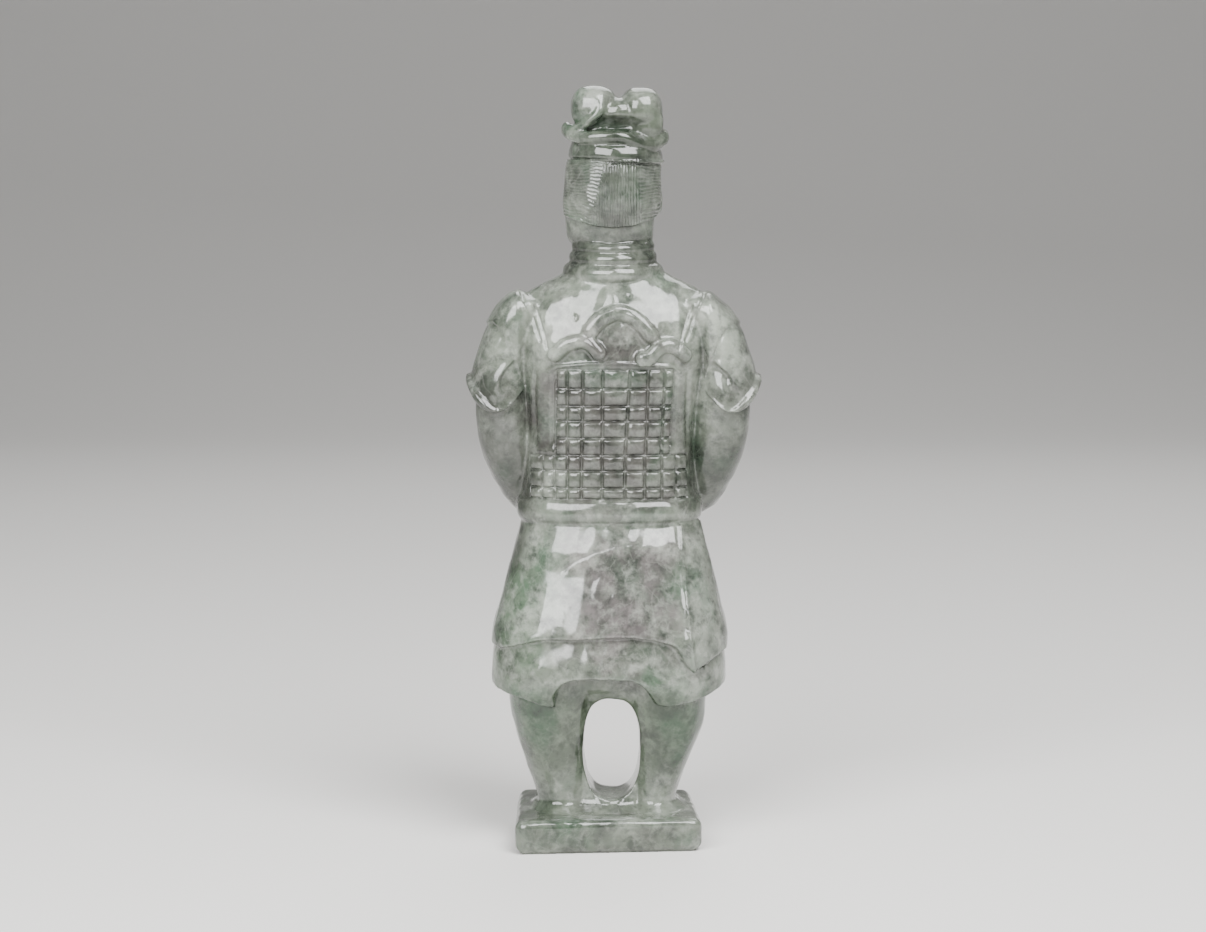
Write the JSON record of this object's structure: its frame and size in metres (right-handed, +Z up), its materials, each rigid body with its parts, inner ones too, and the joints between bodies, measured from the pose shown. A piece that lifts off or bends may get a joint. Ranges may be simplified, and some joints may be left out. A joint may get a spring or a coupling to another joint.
{
  "type": "jadeite soldier figurine",
  "caption": "Polished mottled jadeite figure of an armoured officer with folded hands, standing on a low plinth cut from the same stone.",
  "frame": {"origin": "centre of the plinth's underside, on the surface the figurine stands on", "axes": "+Z up; the soldier faces -Y, and +X is at the soldier's left hand"},
  "size_m": [0.098, 0.055, 0.2525],
  "materials": {
    "jadeite": "polished mottled jadeite, grey-green and lavender-grey"
  },
  "bodies": {
    "root": {"soldier_figurine": "jadeite"}
  },
  "joints": []
}
